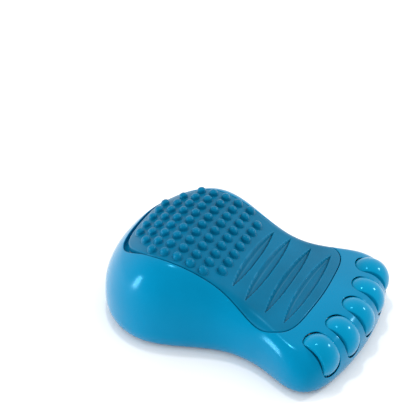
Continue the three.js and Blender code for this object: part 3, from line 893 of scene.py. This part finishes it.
def screw(name, place, face, length, up, paint):
    """Pan-head thread-forming screw with a cross recess; its head faces down, or up."""
    net = Net()
    side = -1 if up else 1

    def put(points):
        return np.stack([points[:, 0], points[:, 1] * side, points[:, 2] * side], -1) + (*place, face)

    def recess(plan):
        x, y = np.abs(plan[:, 0]), np.abs(plan[:, 1])
        along_x = np.maximum(x - CROSS_LONG, y - CROSS_WIDE)
        along_y = np.maximum(x - CROSS_WIDE, y - CROSS_LONG)
        arms = np.minimum(along_y, along_x)
        return CROSS_DEEP * np.clip(0.5 - arms / 0.2, 0, 1)

    rim = net.add(lifted(circle((0, 0), 2.1, SCREW_SIDES), 0.02))
    net.sheet(rim, recess, 0.1)
    dome = [(2.35, 0.1), (2.55, 0.28), (2.68, 0.55), (2.7, 1.2), (1.3, 1.2)]
    neck = net.rows([lifted(circle((0, 0), radius, SCREW_SIDES), z) for radius, z in dome], rim)
    turn = np.arange(SCREW_SIDES) * 2 * np.pi / SCREW_SIDES
    rings = []
    for z in np.arange(1.5, length - 1, 0.2):
        thread = THREAD_R + THREAD_DEEP * np.cos(2 * np.pi * z / THREAD_PITCH - turn)
        rings.append(np.stack([thread * np.cos(turn), thread * np.sin(turn), np.full(SCREW_SIDES, z)], -1))
    point = ((1.0, 0.7), (0.3, 0.05), (0, 0))
    rings += [lifted(circle((0, 0), radius, SCREW_SIDES), length - left) for radius, left in point]
    net.rows(rings, neck)
    net.blocks = [put(block) for block in net.blocks]
    kind, number = name.rsplit("_", 1)
    return net.piece(f"{kind}_body_{number}", paint, "housing", [name], 50)


def rubber_foot(i, paint):
    """Round foot with grip rings on its underside."""
    profile = [(0, 0.3), (1.2, 0.3), (1.5, 0), (2.6, 0), (2.9, 0.4), (3.4, 0.4), (3.7, 0), (4.6, 0),
               (4.9, 0.4), (5.3, 0.4), (5.6, 0), (FOOT_R - 0.5, 0), (FOOT_R, 0.6), (FOOT_R, FOOT_HIGH),
               (0, FOOT_HIGH)]
    net = Net()
    turned(net, rounded(profile, 0.15, 2), 72, lambda ring: ring + (*FEET[i], 0))
    return net.piece(f"rubber_foot_pad_{i + 1}", paint, "housing", [f"rubber_foot_{i + 1}"])


def soften(node, paint):
    """Gives a carried-over frame node rounded edges and its material."""
    made = frame["nodes"][node]
    made.data.materials.clear()
    made.data.materials.append(paint)
    weld = made.modifiers.new("joined_corners", "WELD")
    weld.merge_threshold = 0.001 * MM
    bevel = made.modifiers.new("rounded_edges", "BEVEL")
    bevel.width = 0.25 * MM
    bevel.segments = 2
    bevel.limit_method = "ANGLE"
    bevel.angle_limit = math.radians(35)
    bevel.harden_normals = False


# ---------------------------------------------------------------- floor, light and camera
FOCUS = np.array([1.25, 0, 0])
AZIMUTH, ELEVATION, DISTANCE = 25.5, 35.0, 1000.0
LENS, SENSOR = 141.06, 36.0
LAMP_DISTANCE = 0.9                         # metres
OFFSET_RIGHT, OFFSET_UP = -22.09, 62.88      # the focus lies this far off the middle of the view


def view_axes(azimuth, elevation):
    a, e = math.radians(azimuth), math.radians(elevation)
    back = np.array([math.sin(a) * math.cos(e), -math.cos(a) * math.cos(e), math.sin(e)])
    right = np.array([math.cos(a), math.sin(a), 0])
    return right, np.cross(back, right), back


def camera():
    right, up, back = view_axes(AZIMUTH, ELEVATION)
    place = FOCUS + right * OFFSET_RIGHT + up * OFFSET_UP + back * DISTANCE
    data = bpy.data.cameras.new("camera")
    data.lens, data.sensor_width = LENS, SENSOR
    made = bpy.data.objects.new("camera", data)
    bpy.context.scene.collection.objects.link(made)
    turn = Matrix([[right[k], up[k], back[k]] for k in range(3)]).to_4x4()
    made.matrix_world = Matrix.Translation(place * MM) @ turn
    bpy.context.scene.camera = made


def lamp(name, azimuth, elevation, size, power):
    """Rectangular soft light, sized in metres, that faces the object."""
    right, up, back = view_axes(azimuth, elevation)
    data = bpy.data.lights.new(name, "AREA")
    data.shape = "RECTANGLE"
    data.size, data.size_y = size
    data.energy = power
    made = bpy.data.objects.new(name, data)
    bpy.context.scene.collection.objects.link(made)
    turn = Matrix([[right[k], up[k], back[k]] for k in range(3)]).to_4x4()
    made.matrix_world = Matrix.Translation(back * LAMP_DISTANCE + (0, 0, 0.02)) @ turn


def stage():
    paint = Paint("pale_floor", Specular_IOR_Level=0.1)
    tone = paint.mix(paint.span(paint.noise(90, 2), 0, 1), (0.96, 0.96, 0.96), (0.99, 0.99, 0.99))
    material = paint.finish(tone, paint.span(paint.noise(40, 2), 0.7, 0.8))
    mesh = bpy.data.meshes.new("floor")
    half = 6                                # metres
    corners = [(-half, -half, 0), (half, -half, 0), (half, half, 0), (-half, half, 0)]
    mesh.from_pydata(corners, [], [(0, 1, 2, 3)])
    mesh.materials.append(material)
    floor = bpy.data.objects.new("floor", mesh)
    bpy.context.scene.collection.objects.link(floor)
    floor.location.z = -0.0002
    world = bpy.data.worlds.new("studio")
    world.use_nodes = True
    world.node_tree.nodes["Background"].inputs[0].default_value = (1, 1, 1, 1)
    world.node_tree.nodes["Background"].inputs[1].default_value = 1.0
    bpy.context.scene.world = world
    bpy.context.scene.view_settings.view_transform = "Standard"
    lamp("overhead_light", -124, 82, (0.08, 0.08), 1.6)
    lamp("back_light", 135, 34, (0.10, 0.08), 2.2)
    lamp("side_strip", -52, 6, (0.16, 0.36), 5.0)


# ---------------------------------------------------------------- the object
camera()
stage()
shell_paint = gloss_plastic("shell_plastic", SHELL_BLUE, 0.15)
roller_paint = gloss_plastic("roller_plastic", ROLLER_BLUE, 0.13, (1, 1, 1))
steel_paint, inner_paint, rubber_paint = zinc_steel(), acetal(), foot_rubber()
top_shell(shell_paint)
massage_pad(pad_elastomer())
base_cover(cover_plastic())
for n in range(5):
    toe_roller(n, roller_paint)
    roller_axle(n, steel_paint)
for n, spot in enumerate(SCREW_PADS):
    screw(f"base_screw_{n + 1}", spot, SCREW_FACE, 11, False, steel_paint)
for n, spot in enumerate(comb_places(CRADLE_SCREWS)):
    screw(f"cradle_screw_{n + 1}", spot, SCREW_FACE, 9, False, steel_paint)
for n, spot in enumerate(comb_places(KEEPER_SCREWS)):
    screw(f"keeper_screw_{n + 1}", spot, COMB_TOP - 0.4, 11, True, steel_paint)
for n in range(4):
    rubber_foot(n, rubber_paint)
for part in ("roller_cradle", "axle_keeper"):
    soften(part, inner_paint)
